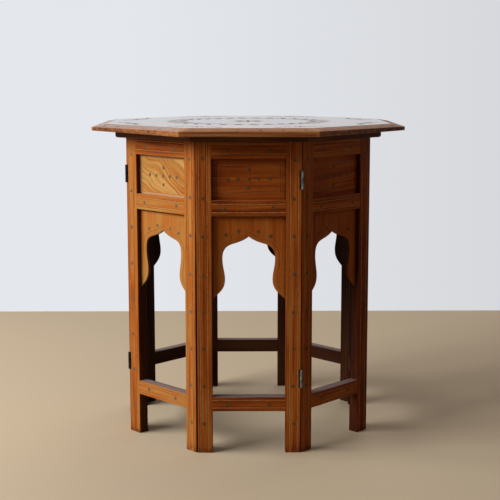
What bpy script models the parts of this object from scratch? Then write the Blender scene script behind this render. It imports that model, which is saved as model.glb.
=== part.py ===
"""Octagonal folding side table.

Eight framed sides are hinged in a ring, alternately outside and inside the corners, so that the
ring folds flat. A bevelled octagonal top with a moulding under it stands loose on the ring.
The origin is on the floor under the middle of the table, +Z is up and the front faces -Y.
"""

import math

import bmesh
import bpy
from mathutils import Matrix, Vector

# Driving dimensions, in metres.
SIDES = 8
SIDE_WIDTH = 0.1535
SIDE_THICKNESS = 0.016
BASE_HEIGHT = 0.4591
STILE_WIDTH = 0.0232
TOP_RAIL_HEIGHT = 0.0241
UPPER_OPENING_HEIGHT = 0.0595
MIDDLE_RAIL_HEIGHT = 0.0233
BOTTOM_RAIL_HEIGHT = 0.0213
FOOT_HEIGHT = 0.0632

# Panels sit in grooves cut into the inner edges of the frame.
PANEL_THICKNESS = 0.005
PANEL_RECESS = 0.007
GROOVE_DEPTH = 0.005

# The ogee arch, measured down from the middle rail and out from the middle of the side.
ARCH_CROWN_DROP = 0.0305
ARCH_SHOULDER_DROP = 0.0407
ARCH_SHOULDER_WIDTH = 0.044
ARCH_BELLY_DROP = 0.063
ARCH_BELLY_WIDTH = 0.0764
ARCH_NECK_DROP = 0.094
ARCH_NECK_WIDTH = 0.069
ARCH_TIP_DROP = 0.1225
ARCH_STEPS = 5

# Butt hinges, two at each corner.
HINGE_LENGTH = 0.0268
HINGE_TOP_DROP = 0.0546
HINGE_FOOT_RISE = 0.1125
KNUCKLE_DIAMETER = 0.0032
PIN_DIAMETER = 0.0014
PLATE_DEPTH = 0.012
PLATE_THICKNESS = 0.0008
AXIS_PROUD = 0.0004
CORNER_GAP = 0.0017
ROUND_STEPS = 12

# The loose top and the moulding under it, which rests on the sides.
TOP_OVERHANG = 0.049
TOP_THICKNESS = 0.0105
TOP_EDGE_HEIGHT = 0.0066
TOP_BEVEL_WIDTH = 0.021
MOULDING_OVERHANG = 0.0152
MOULDING_WIDTH = 0.035
MOULDING_THICKNESS = 0.0101
MOULDING_CHAMFER_LENGTH = 0.003
MOULDING_CHAMFER_HEIGHT = 0.0026

# Clearance between pieces that touch, and the overlap that makes a clean cut.
CLEARANCE = 0.0003
CUT_MARGIN = 0.004

# Worked out from the dimensions above.
HALF_TURN = math.pi / SIDES
HALF_WIDTH = SIDE_WIDTH / 2
APOTHEM = HALF_WIDTH / math.tan(HALF_TURN)
OPENING_HALF = HALF_WIDTH - STILE_WIDTH
UPPER_OPENING_TOP = BASE_HEIGHT - TOP_RAIL_HEIGHT
MIDDLE_RAIL_TOP = UPPER_OPENING_TOP - UPPER_OPENING_HEIGHT
MIDDLE_RAIL_BOTTOM = MIDDLE_RAIL_TOP - MIDDLE_RAIL_HEIGHT
BOTTOM_RAIL_TOP = FOOT_HEIGHT + BOTTOM_RAIL_HEIGHT
ARCH_TIP = MIDDLE_RAIL_BOTTOM - ARCH_TIP_DROP
HALF_GAP = CORNER_GAP / 2
KNUCKLE_RADIUS = KNUCKLE_DIAMETER / 2
PIN_RADIUS = PIN_DIAMETER / 2
RELIEF_RADIUS = (KNUCKLE_RADIUS + CLEARANCE) / math.cos(math.pi / ROUND_STEPS)
HINGE_HEIGHTS = {"upper": BASE_HEIGHT - HINGE_TOP_DROP, "lower": HINGE_FOOT_RISE}
MOULDING_BOTTOM = BASE_HEIGHT + CLEARANCE
TOP_BOTTOM = MOULDING_BOTTOM + MOULDING_THICKNESS + CLEARANCE
TOP_APOTHEM = APOTHEM + TOP_OVERHANG

for old_object in list(bpy.data.objects):
    bpy.data.objects.remove(old_object, do_unlink=True)

table = bpy.data.collections.new("folding_side_table")
bpy.context.scene.collection.children.link(table)


def make_material(name, colour, roughness, metallic):
    material = bpy.data.materials.new(name)
    material.use_nodes = True
    shader = material.node_tree.nodes["Principled BSDF"]
    shader.inputs["Base Color"].default_value = (*colour, 1.0)
    shader.inputs["Roughness"].default_value = roughness
    shader.inputs["Metallic"].default_value = metallic
    material.diffuse_color = (*colour, 1.0)
    return material


FRAME_WOOD = make_material("frame_wood", (0.33, 0.115, 0.032), 0.38, 0.0)
PANEL_WOOD = make_material("panel_wood", (0.36, 0.135, 0.04), 0.42, 0.0)
TOP_WOOD = make_material("top_wood", (0.30, 0.11, 0.035), 0.22, 0.0)
HINGE_METAL = make_material("hinge_metal", (0.45, 0.44, 0.40), 0.45, 0.9)


def new_object(name, mesh, material=None):
    thing = bpy.data.objects.new(name, mesh)
    table.objects.link(thing)
    if material is not None and not mesh.materials:
        mesh.materials.append(material)
    return thing


def box_between(name, low, high):
    """A box from its lowest to its highest corner."""
    low = Vector(low)
    high = Vector(high)
    shape = bmesh.new()
    bmesh.ops.create_cube(shape, size=1.0)
    bmesh.ops.scale(shape, vec=high - low, verts=shape.verts)
    bmesh.ops.translate(shape, vec=(low + high) / 2, verts=shape.verts)
    mesh = bpy.data.meshes.new(name)
    shape.to_mesh(mesh)
    shape.free()
    return new_object(name, mesh)


def round_bar(name, radius, length):
    """A cylinder along Z, centred on the origin."""
    shape = bmesh.new()
    bmesh.ops.create_cone(
        shape, cap_ends=True, segments=ROUND_STEPS, radius1=radius, radius2=radius, depth=length
    )
    mesh = bpy.data.meshes.new(name)
    shape.to_mesh(mesh)
    shape.free()
    return new_object(name, mesh)


def as_mesh(thing):
    """Replace an object by a plain mesh of what it evaluates to, with its seams welded."""
    bpy.context.view_layer.update()
    evaluated = thing.evaluated_get(bpy.context.evaluated_depsgraph_get())
    mesh = bpy.data.meshes.new_from_object(evaluated)
    shape = bmesh.new()
    shape.from_mesh(mesh)
    bmesh.ops.remove_doubles(shape, verts=shape.verts, dist=0.000001)
    shape.to_mesh(mesh)
    shape.free()
    mesh.transform(thing.matrix_world)
    name = thing.name
    bpy.data.objects.remove(thing, do_unlink=True)
    mesh.name = name
    return new_object(name, mesh)


def flat_outline(name, points, thickness):
    """A flat shape with the given outline in XY, centred on Z."""
    curve = bpy.data.curves.new(name, "CURVE")
    curve.dimensions = "2D"
    curve.fill_mode = "BOTH"
    curve.extrude = thickness / 2
    spline = curve.splines.new("POLY")
    spline.points.add(len(points) - 1)
    for spline_point, (x, y) in zip(spline.points, points):
        spline_point.co = (x, y, 0.0, 1.0)
    spline.use_cyclic_u = True
    return as_mesh(new_object(name, curve))


def turned(name, profile, steps):
    """A profile of (radius, height) points, from top to bottom, turned about Z."""
    shape = bmesh.new()
    corners = [shape.verts.new((radius, 0.0, height)) for radius, height in profile]
    for first, second in zip(corners, corners[1:]):
        shape.edges.new((first, second))
    mesh = bpy.data.meshes.new(name)
    shape.to_mesh(mesh)
    shape.free()
    thing = new_object(name, mesh)
    screw = thing.modifiers.new("turn", "SCREW")
    screw.steps = steps
    screw.render_steps = steps
    screw.use_merge_vertices = True
    screw.merge_threshold = 0.000001
    return as_mesh(thing)


def combine(target, tool, operation):
    """Join a tool to the target, or cut it away, and remove the tool."""
    boolean = target.modifiers.new(operation.lower(), "BOOLEAN")
    boolean.operation = operation
    boolean.object = tool
    result = as_mesh(target)
    bpy.data.objects.remove(tool, do_unlink=True)
    return result


def smooth_round(mesh):
    mesh.shade_smooth()
    mesh.set_sharp_from_angle(angle=math.radians(40))


def side_world(number):
    """Where a side stands: side 1 is the front, and the numbers run round to the left."""
    around = Matrix.Rotation(-2 * HALF_TURN * (number - 1), 4, "Z")
    return around @ Matrix.Translation((0.0, -APOTHEM, 0.0))


def hinge_is_outside(number):
    """The corner between a side and the next one: odd sides have an inside hinge there."""
    return number % 2 == 0


def hinge_place(end, outside):
    """The hinge axis at one end of a side: end is -1 for the left end and +1 for the right.

    The frame's X points at the next side, and Y runs into the wood along the mitre.
    """
    slope = math.tan(HALF_TURN)
    if outside:
        depth = -AXIS_PROUD
    else:
        depth = SIDE_THICKNESS + AXIS_PROUD
    origin = Vector((end * (HALF_WIDTH - depth * slope), depth, 0.0))
    across = Vector((end * math.cos(HALF_TURN), math.sin(HALF_TURN), 0.0))
    along = Vector((-end * math.sin(HALF_TURN), math.cos(HALF_TURN), 0.0))
    if not outside:
        along = -along
    up = across.cross(along)
    place = Matrix((across, along, up)).transposed().to_4x4()
    place.translation = origin
    return place


def lifted(place, height):
    return Matrix.Translation((0.0, 0.0, height)) @ place


def side_blank():
    """A mitred board, in the side's own frame: X to the right, Y into the table."""
    slope = math.tan(HALF_TURN)
    edge = HALF_WIDTH - HALF_GAP / math.cos(HALF_TURN)
    plan = [
        (-edge, 0.0),
        (edge, 0.0),
        (edge - SIDE_THICKNESS * slope, SIDE_THICKNESS),
        (-edge + SIDE_THICKNESS * slope, SIDE_THICKNESS),
    ]
    blank = flat_outline("frame", plan, BASE_HEIGHT)
    blank.data.transform(Matrix.Translation((0.0, 0.0, BASE_HEIGHT / 2)))
    return blank


def frame_mesh(left_outside):
    """Stiles and rails of one side, with grooves for the panels and seats for the hinges."""
    frame = side_blank()
    through = (-CUT_MARGIN, SIDE_THICKNESS + CUT_MARGIN)
    openings = [
        (MIDDLE_RAIL_TOP, UPPER_OPENING_TOP),
        (BOTTOM_RAIL_TOP, MIDDLE_RAIL_BOTTOM),
        (-CUT_MARGIN, FOOT_HEIGHT),
    ]
    for bottom, top in openings:
        low = (-OPENING_HALF, through[0], bottom)
        high = (OPENING_HALF, through[1], top)
        frame = combine(frame, box_between("opening", low, high), "DIFFERENCE")
    groove_half = OPENING_HALF + GROOVE_DEPTH
    groove_front = PANEL_RECESS - CLEARANCE
    groove_back = PANEL_RECESS + PANEL_THICKNESS + CLEARANCE
    grooves = [
        (MIDDLE_RAIL_TOP - GROOVE_DEPTH, UPPER_OPENING_TOP + GROOVE_DEPTH),
        (ARCH_TIP - CLEARANCE, MIDDLE_RAIL_BOTTOM + GROOVE_DEPTH),
    ]
    for bottom, top in grooves:
        low = (-groove_half, groove_front, bottom)
        high = (groove_half, groove_back, top)
        frame = combine(frame, box_between("groove", low, high), "DIFFERENCE")
    for end, outside in ((-1, left_outside), (1, not left_outside)):
        for height in HINGE_HEIGHTS.values():
            place = lifted(hinge_place(end, outside), height)
            frame = combine(frame, plate_seat(place), "DIFFERENCE")
            frame = combine(frame, knuckle_seat(place), "DIFFERENCE")
    return take_mesh(frame)


def plate_seat(place):
    half_length = HINGE_LENGTH / 2 + CLEARANCE
    low = (-HALF_GAP - PLATE_THICKNESS - CLEARANCE, 0.0, -half_length)
    high = (CUT_MARGIN, PLATE_DEPTH + CLEARANCE, half_length)
    seat = box_between("plate_seat", low, high)
    seat.data.transform(place)
    return seat


def knuckle_seat(place):
    seat = round_bar("knuckle_seat", RELIEF_RADIUS, HINGE_LENGTH + 4 * CLEARANCE)
    seat.data.transform(place)
    return seat


def take_mesh(thing):
    """Keep the mesh of a finished pattern and remove its object."""
    mesh = thing.data
    bpy.data.objects.remove(thing, do_unlink=True)
    return mesh


def upper_panel_mesh():
    half = OPENING_HALF + GROOVE_DEPTH - CLEARANCE
    low = (-half, PANEL_RECESS, MIDDLE_RAIL_TOP - GROOVE_DEPTH + CLEARANCE)
    high = (half, PANEL_RECESS + PANEL_THICKNESS, UPPER_OPENING_TOP + GROOVE_DEPTH - CLEARANCE)
    return take_mesh(box_between("upper_panel", low, high))


def bezier(start, start_handle, end_handle, end):
    """Points of a cubic curve, without its first one."""
    points = []
    for step in range(1, ARCH_STEPS + 1):
        t = step / ARCH_STEPS
        s = 1 - t
        weights = (s ** 3, 3 * s * s * t, 3 * s * t * t, t ** 3)
        corners = (start, start_handle, end_handle, end)
        x = sum(weight * corner[0] for weight, corner in zip(weights, corners))
        y = sum(weight * corner[1] for weight, corner in zip(weights, corners))
        points.append((x, y))
    return points


def arch_half():
    """Right half of the ogee arch, from its crown down to where it meets the stile."""
    crown = (0.0, MIDDLE_RAIL_BOTTOM - ARCH_CROWN_DROP)
    shoulder = (ARCH_SHOULDER_WIDTH / 2, MIDDLE_RAIL_BOTTOM - ARCH_SHOULDER_DROP)
    belly = (ARCH_BELLY_WIDTH / 2, MIDDLE_RAIL_BOTTOM - ARCH_BELLY_DROP)
    neck = (ARCH_NECK_WIDTH / 2, MIDDLE_RAIL_BOTTOM - ARCH_NECK_DROP)
    tip = (OPENING_HALF, ARCH_TIP)
    rise = crown[1] - shoulder[1]
    fall = shoulder[1] - belly[1]
    waist = belly[1] - neck[1]
    skirt = neck[1] - tip[1]
    spread = belly[0] - shoulder[0]
    points = [crown]
    points += bezier(
        crown,
        (shoulder[0] * 0.3, crown[1] - rise * 0.5),
        (shoulder[0] * 0.6, shoulder[1] + rise * 0.25),
        shoulder,
    )
    points += bezier(
        shoulder,
        (shoulder[0] + spread * 0.6, shoulder[1] - rise * 0.3),
        (belly[0], belly[1] + fall * 0.55),
        belly,
    )
    points += bezier(
        belly, (belly[0], belly[1] - waist * 0.4), (neck[0], neck[1] + waist * 0.35), neck
    )
    points += bezier(
        neck,
        (neck[0], neck[1] - skirt * 0.5),
        (tip[0] - (tip[0] - neck[0]) * 0.5, tip[1] + skirt * 0.3),
        tip,
    )
    return points


def arch_panel_mesh():
    half = OPENING_HALF + GROOVE_DEPTH - CLEARANCE
    top = MIDDLE_RAIL_BOTTOM + GROOVE_DEPTH - CLEARANCE
    right = arch_half()
    left = [(-x, z) for x, z in reversed(right[1:])]
    outline = left + right + [(half, ARCH_TIP), (half, top), (-half, top), (-half, ARCH_TIP)]
    panel = flat_outline("arch_panel", outline, PANEL_THICKNESS)
    upright = Matrix.Rotation(math.radians(90), 4, "X")
    middle = PANEL_RECESS + PANEL_THICKNESS / 2
    panel.data.transform(Matrix.Translation((0.0, middle, 0.0)) @ upright)
    return take_mesh(panel)


def plate_comb(tabs):
    """A hinge plate whose tabs reach in to the knuckles, in the hinge's own frame."""
    inner = KNUCKLE_RADIUS + CLEARANCE
    half = HINGE_LENGTH / 2
    outline = [(PLATE_DEPTH, -half), (PLATE_DEPTH, half), (inner, half)]
    for high, low in tabs:
        outline += [(inner, high), (0.0, high), (0.0, low), (inner, low)]
    outline.append((inner, -half))
    comb = flat_outline("comb", outline, PLATE_THICKNESS)
    stand = Matrix(((0, 0, 1, 0), (1, 0, 0, 0), (0, 1, 0, 0), (0, 0, 0, 1)))
    shift = Matrix.Translation((-HALF_GAP - PLATE_THICKNESS / 2, 0.0, 0.0))
    comb.data.transform(shift @ stand)
    return comb


def pin_leaf_mesh():
    """The hinge half with the two end knuckles and the pin."""
    end = HINGE_LENGTH / 2
    step = HINGE_LENGTH / 6 + CLEARANCE / 2
    profile = [
        (0.0, end),
        (KNUCKLE_RADIUS, end),
        (KNUCKLE_RADIUS, step),
        (PIN_RADIUS, step),
        (PIN_RADIUS, -step),
        (KNUCKLE_RADIUS, -step),
        (KNUCKLE_RADIUS, -end),
        (0.0, -end),
    ]
    spool = turned("spool", profile, ROUND_STEPS)
    tab_end = end - CLEARANCE
    tab_start = step + CLEARANCE
    comb = plate_comb([(tab_end, tab_start), (-tab_start, -tab_end)])
    mesh = take_mesh(combine(spool, comb, "UNION"))
    smooth_round(mesh)
    return mesh


def socket_leaf_mesh():
    """The hinge half with the middle knuckle, bored for the pin."""
    step = HINGE_LENGTH / 6 - CLEARANCE / 2
    barrel = round_bar("barrel", KNUCKLE_RADIUS, 2 * step)
    tab = step - CLEARANCE
    barrel = combine(barrel, plate_comb([(tab, -tab)]), "UNION")
    bore = round_bar("bore", PIN_RADIUS + CLEARANCE, HINGE_LENGTH)
    mesh = take_mesh(combine(barrel, bore, "DIFFERENCE"))
    smooth_round(mesh)
    return mesh


def top_board_mesh():
    corner = 1 / math.cos(HALF_TURN)
    profile = [
        (0.0, TOP_THICKNESS),
        ((TOP_APOTHEM - TOP_BEVEL_WIDTH) * corner, TOP_THICKNESS),
        (TOP_APOTHEM * corner, TOP_EDGE_HEIGHT),
        (TOP_APOTHEM * corner, 0.0),
        (0.0, 0.0),
    ]
    return take_mesh(turned("top_board", profile, SIDES))


def top_moulding_mesh():
    """An octagonal ring of eight mitred strips, chamfered along its lower outer edge."""
    corner = 1 / math.cos(HALF_TURN)
    outer = APOTHEM + MOULDING_OVERHANG
    inner = (outer - MOULDING_WIDTH) * corner
    profile = [
        (inner, MOULDING_THICKNESS),
        (outer * corner, MOULDING_THICKNESS),
        (outer * corner, MOULDING_CHAMFER_HEIGHT),
        ((outer - MOULDING_CHAMFER_LENGTH) * corner, 0.0),
        (inner, 0.0),
        (inner, MOULDING_THICKNESS),
    ]
    return take_mesh(turned("top_moulding", profile, SIDES))


def add_empty(name, world, parent, parent_world):
    """An empty on a joint's axis, which carries the pieces that turn with it."""
    empty = bpy.data.objects.new(name, None)
    empty.empty_display_size = SIDE_THICKNESS
    table.objects.link(empty)
    empty.parent = parent
    empty.matrix_local = parent_world.inverted() @ world
    return empty


def add_piece(name, mesh, material, world, parent, parent_world):
    piece = new_object(name, mesh, material)
    piece.parent = parent
    piece.matrix_local = parent_world.inverted() @ world
    return piece


def corner_axis(number):
    """World place of the hinge axis between a side and the next one, on the floor."""
    place = side_world(number) @ hinge_place(-1, hinge_is_outside(number))
    return place.translation


def build_base():
    """Eight sides on a chain of hinge axes: 1 to 5 round the left, and 8 to 6 round the right."""
    frames = {outside: frame_mesh(outside) for outside in (False, True)}
    upper_panel = upper_panel_mesh()
    arch_panel = arch_panel_mesh()
    pin_leaf = pin_leaf_mesh()
    socket_leaf = socket_leaf_mesh()

    carriers = {1: (add_empty("side_1_axis", side_world(1), None, Matrix()), side_world(1))}
    middle = SIDES // 2 + 1
    chain = [(number, number - 1, number - 1) for number in range(2, middle + 1)]
    chain += [(number, number % SIDES + 1, number) for number in range(SIDES, middle, -1)]
    for number, neighbour, corner in chain:
        world = Matrix.Translation(corner_axis(corner)) @ side_world(number).to_3x3().to_4x4()
        parent, parent_world = carriers[neighbour]
        axis = add_empty(f"side_{number}_axis", world, parent, parent_world)
        carriers[number] = (axis, world)

    for number in range(1, SIDES + 1):
        carrier, carrier_world = carriers[number]
        place = side_world(number)
        frame = frames[hinge_is_outside(number)]
        add_piece(f"side_{number}_frame", frame, FRAME_WOOD, place, carrier, carrier_world)
        add_piece(f"side_{number}_upper_panel", upper_panel, PANEL_WOOD, place, carrier, carrier_world)
        add_piece(f"side_{number}_arch_panel", arch_panel, PANEL_WOOD, place, carrier, carrier_world)

    for number in range(1, SIDES + 1):
        following = number % SIDES + 1
        outside = hinge_is_outside(number)
        for level, height in HINGE_HEIGHTS.items():
            name = f"hinge_{number}_{following}_{level}"
            for half, mesh, owner, end in (
                ("pin_leaf", pin_leaf, number, -1),
                ("socket_leaf", socket_leaf, following, 1),
            ):
                carrier, carrier_world = carriers[owner]
                place = side_world(owner) @ lifted(hinge_place(end, outside), height)
                add_piece(f"{name}_{half}", mesh, HINGE_METAL, place, carrier, carrier_world)
    return carriers[1]


def build_top(carrier, carrier_world):
    """The loose top, which lifts straight up off the base."""
    lift = Matrix.Translation((0.0, 0.0, MOULDING_BOTTOM))
    top = add_empty("top_axis", lift, carrier, carrier_world)
    flats_to_front = Matrix.Rotation(HALF_TURN, 4, "Z")
    board_place = Matrix.Translation((0.0, 0.0, TOP_BOTTOM)) @ flats_to_front
    add_piece("top_board", top_board_mesh(), TOP_WOOD, board_place, top, lift)
    add_piece("top_moulding", top_moulding_mesh(), TOP_WOOD, lift @ flats_to_front, top, lift)


build_top(*build_base())
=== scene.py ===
# %% [markdown]
# # An octagonal folding side table with inlaid dots
#
# The table has a loose bevelled top on a ring of eight framed sides. The sides are hinged to each other,
# so the ring folds flat. The joints and sizes come from a packed model, which this lesson loads first and
# never moves. Every finer piece made here rides on one of its bodies.

# %% Load the fixed frame
import math
import random

import bmesh
import bpy
from mathutils import Matrix, Vector


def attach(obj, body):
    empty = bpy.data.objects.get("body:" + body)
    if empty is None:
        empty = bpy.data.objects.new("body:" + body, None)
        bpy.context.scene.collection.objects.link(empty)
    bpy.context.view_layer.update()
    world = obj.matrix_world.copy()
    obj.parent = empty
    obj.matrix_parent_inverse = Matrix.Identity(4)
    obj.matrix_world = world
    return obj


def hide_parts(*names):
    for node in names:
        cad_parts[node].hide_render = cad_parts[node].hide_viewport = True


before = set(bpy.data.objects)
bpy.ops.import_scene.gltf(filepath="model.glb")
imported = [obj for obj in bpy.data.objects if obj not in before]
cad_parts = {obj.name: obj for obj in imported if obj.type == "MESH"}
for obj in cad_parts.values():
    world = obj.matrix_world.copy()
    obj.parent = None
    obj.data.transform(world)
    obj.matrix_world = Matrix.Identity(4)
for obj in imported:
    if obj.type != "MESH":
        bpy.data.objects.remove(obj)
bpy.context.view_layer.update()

# %% [markdown]
# ## Sizes
#
# A joiner marks out from a few main sizes. These are the same ones that the packed model was made from, in
# metres, so the finer pieces land where the plain ones stand. Chance is seeded, so every run is the same.

# %% Main sizes
MM = 0.001
SIDE_COUNT = 8
SIDE_WIDTH = 0.1535
SIDE_THICKNESS = 0.016
BASE_HEIGHT = 0.4591
STILE_WIDTH = 0.0232
TOP_RAIL_HEIGHT = 0.0241
UPPER_OPENING_HEIGHT = 0.0595
MIDDLE_RAIL_HEIGHT = 0.0233
BOTTOM_RAIL_HEIGHT = 0.0213
FOOT_HEIGHT = 0.0632
ARCH_HEIGHT = 0.1225
PANEL_FACE = 0.007
PANEL_BACK = 0.012
GROOVE_DEPTH = 0.005
CORNER_GAP = 0.0017
CLEARANCE = 0.0003

SIDES = range(1, SIDE_COUNT + 1)
HALF_TURN = math.pi / SIDE_COUNT
HALF_WIDTH = SIDE_WIDTH / 2
APOTHEM = HALF_WIDTH / math.tan(HALF_TURN)
OPENING_HALF = HALF_WIDTH - STILE_WIDTH
UPPER_OPENING_TOP = BASE_HEIGHT - TOP_RAIL_HEIGHT
MIDDLE_RAIL_TOP = UPPER_OPENING_TOP - UPPER_OPENING_HEIGHT
MIDDLE_RAIL_BOTTOM = MIDDLE_RAIL_TOP - MIDDLE_RAIL_HEIGHT
BOTTOM_RAIL_TOP = FOOT_HEIGHT + BOTTOM_RAIL_HEIGHT
ARCH_TIP = MIDDLE_RAIL_BOTTOM - ARCH_HEIGHT
PANEL_HALF = OPENING_HALF + GROOVE_DEPTH - CLEARANCE
GROOVE_FRONT = PANEL_FACE - CLEARANCE
GROOVE_BACK = PANEL_BACK + CLEARANCE

dice = random.Random(41)


def side_place(number):
    """Where a side stands: side 1 is the front, and the numbers run round to the left."""
    around = Matrix.Rotation(-2 * HALF_TURN * (number - 1), 4, "Z")
    return around @ Matrix.Translation((0.0, -APOTHEM, 0.0))


print("distance from the middle to a side:", round(APOTHEM, 4))

# %% [markdown]
# ## Camera
#
# The camera stands about 1.8 m in front of the table, a little above its top, and looks down by 8 degrees.
# The lens is a short telephoto one. The picture's middle lies below the optical axis, as after a crop, and a
# small vertical shift of the lens gives that without tilting the upright lines.

# %% Camera
camera_data = bpy.data.cameras.new("front_camera")
camera_data.lens = 80.85
camera_data.sensor_width = 36.0
camera_data.shift_y = -0.03
camera = bpy.data.objects.new("front_camera", camera_data)
camera.location = (-0.0100, -1.7818, 0.5597)
camera.rotation_euler = (math.radians(81.650), math.radians(0.037), math.radians(-0.426))
bpy.context.scene.collection.objects.link(camera)
bpy.context.scene.camera = camera
bpy.context.scene.view_settings.view_transform = "Standard"
print("camera at", tuple(round(value, 3) for value in camera.location))

# %% [markdown]
# ## Lamps
#
# One large window on the left lights the table. A wide area lamp stands in for it, because the wider a lamp
# is, the softer its shadows are. It is low, so the overhanging top shades the upper part of the front. A weak
# lamp behind the table keeps the back readable.

# %% Lamps
TABLE_MIDDLE = Vector((0.0, 0.0, 0.26))
DAYLIGHT = (0.93, 1.0, 1.03)


def soft_lamp(name, azimuth, elevation, distance, width, height, level):
    """A flat lamp that lights a facing surface by the given level, where 1 shows a colour as written."""
    level_reach = math.cos(math.radians(elevation))
    toward = Vector((
        math.sin(math.radians(azimuth)) * level_reach,
        -math.cos(math.radians(azimuth)) * level_reach,
        math.sin(math.radians(elevation)),
    ))
    data = bpy.data.lights.new(name, "AREA")
    data.shape = "RECTANGLE"
    data.size = width
    data.size_y = height
    data.color = DAYLIGHT
    data.energy = level * math.pi ** 2 * distance ** 2
    lamp = bpy.data.objects.new(name, data)
    lamp.location = TABLE_MIDDLE + toward * distance
    lamp.rotation_mode = "QUATERNION"
    lamp.rotation_quaternion = toward.to_track_quat("Z", "Y")
    bpy.context.scene.collection.objects.link(lamp)
    return lamp


window = soft_lamp("window", -73, 27, distance=2.4, width=1.9, height=0.85, level=1.26)
rear_fill = soft_lamp("rear_fill", 155, 35, distance=2.6, width=1.6, height=1.6, level=0.22)
rear_fill.visible_glossy = False
print("window lamp at", tuple(round(value, 2) for value in window.location))

# %% [markdown]
# ## Shader arithmetic
#
# A finish is a small program that runs at every point of a surface. Blender writes it as nodes. It reads
# better as Python, so a `Wire` holds one output socket and turns each operator into a Math node. A `Recipe`
# holds a tree of nodes and has one method that adds any other node.

# %% Wires


class Wire:
    """An output socket that takes part in arithmetic: each operator adds one Math node."""

    def __init__(self, recipe, socket):
        self.recipe = recipe
        self.socket = socket

    def maths(self, operation, first, second):
        return self.recipe.node("ShaderNodeMath", {"operation": operation}, {0: first, 1: second})

    def __add__(self, other):
        return self.maths("ADD", self, other)

    def __radd__(self, other):
        return self.maths("ADD", other, self)

    def __sub__(self, other):
        return self.maths("SUBTRACT", self, other)

    def __rsub__(self, other):
        return self.maths("SUBTRACT", other, self)

    def __mul__(self, other):
        return self.maths("MULTIPLY", self, other)

    def __rmul__(self, other):
        return self.maths("MULTIPLY", other, self)

    def __abs__(self):
        return self.maths("ABSOLUTE", self, 0.0)

    def larger(self, other):
        return self.maths("MAXIMUM", self, other)

    def rise(self, low, high):
        """0 below low, 1 above high and a smooth step between them."""
        sockets = {"Value": self, "From Min": low, "From Max": high}
        return self.recipe.node("ShaderNodeMapRange", {"interpolation_type": "SMOOTHSTEP"}, sockets)

    def between(self, least, most):
        """What runs from 0 to 1, made to run from least to most."""
        return self * (most - least) + least


class Recipe:
    """A tree of nodes, with one method that adds any node to it."""

    def __init__(self, tree):
        self.tree = tree

    def node(self, kind, settings, sockets, output=0):
        """Add a node with its settings, then give its sockets their wires or plain values."""
        made = self.tree.nodes.new(kind)
        for name, value in settings.items():
            if name == "stops":
                set_stops(made.color_ramp, value)
            else:
                setattr(made, name, value)
        for name, value in sockets.items():
            self.join(value, made.inputs[name])
        return Wire(self, made.outputs[output])

    def join(self, value, socket):
        """Link a wire to a socket, or set the socket to a plain value. A plain colour has three numbers."""
        if isinstance(value, Wire):
            self.tree.links.new(value.socket, socket)
        elif socket.type == "RGBA":
            socket.default_value = (*value, 1.0)
        else:
            socket.default_value = value

    def read(self, kind, output):
        """The output of a node that needs no input, such as the way a face looks."""
        return self.node(kind, {}, {}, output)

    def part(self, vector, axis):
        return self.node("ShaderNodeSeparateXYZ", {}, {0: vector}, axis)

    def mixed(self, share, first, second):
        """One colour with a share of a second one."""
        return self.node("ShaderNodeMix", {"data_type": "RGBA"}, {0: share, 6: first, 7: second}, 2)

    def show(self, output_name, share, first, second):
        """Show one shader with a share of a second one."""
        shown = self.node("ShaderNodeMixShader", {}, {0: share, 1: first, 2: second})
        self.join(shown, self.tree.nodes[output_name].inputs["Surface"])


def set_stops(ramp, stops):
    """Give a colour ramp its stops, as (place, colour) pairs."""
    while len(ramp.elements) < len(stops):
        ramp.elements.new(1.0)
    for element, (place, colour) in zip(ramp.elements, stops):
        element.position = place
        element.color = (*colour, 1.0)


print("operators of a wire:", [name for name in vars(Wire) if name.startswith("__") and name.endswith("__")])

# %% [markdown]
# ## Finishes
#
# A `Finish` is the recipe of one material. It knows the material's own shader, and it has a short name for
# each pattern that the woods and metals below are made of.

# %% Finish


class Finish(Recipe):
    """A material and the nodes that feed its shader."""

    def __init__(self, name, **constants):
        self.material = bpy.data.materials.new(name)
        self.material.use_nodes = True
        super().__init__(self.material.node_tree)
        self.shader = self.tree.nodes["Principled BSDF"]
        for socket_name, value in constants.items():
            self.feed(socket_name.replace("_", " "), value)

    def feed(self, socket_name, value):
        self.join(value, self.shader.inputs[socket_name])

    def noise(self, vector, scale, detail):
        sockets = {"Vector": vector, "Scale": scale, "Detail": detail, "Roughness": 0.55}
        return self.node("ShaderNodeTexNoise", {}, sockets)

    def stored(self, name, output="Fac"):
        return self.node("ShaderNodeAttribute", {"attribute_name": name}, {}, output)

    def drawn(self, vector, along):
        """The vector with less of its third number, which draws a pattern out in that direction."""
        return self.node("ShaderNodeVectorMath", {"operation": "MULTIPLY"}, {0: vector, 1: (1.0, 1.0, along)})

    def ramp(self, share, stops):
        return self.node("ShaderNodeValToRGB", {"stops": stops}, {"Fac": share})

    def bumped(self, height, strength, distance):
        sockets = {"Height": height, "Strength": strength, "Distance": distance}
        return self.node("ShaderNodeBump", {}, sockets)


print("patterns of a finish:", [name for name in vars(Finish) if not name.startswith("__")])

# %% [markdown]
# ## Backdrop and floor
#
# The table stands in a plain pale room. Walls would throw light back at the wood, so the backdrop is the
# world instead, and it is pale only for what the camera sees and for reflections. For the light on the wood
# the world is dim and even. The floor is one plain sheet. It can be seen through from below, so that the
# underside can be looked at.

# %% Backdrop and floor
FILL_LIGHT = (0.110, 0.089, 0.083)
BACKDROP_LEFT = (0.775, 0.80, 0.835)
BACKDROP_RIGHT = (0.67, 0.68, 0.71)
BACKDROP_DISTANCE = 0.803
FLOOR_SEEN = (0.63, 0.475, 0.312)
FLOOR_BOUNCE = (0.26, 0.21, 0.15)
FLOOR_REACH = 6.0


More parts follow.
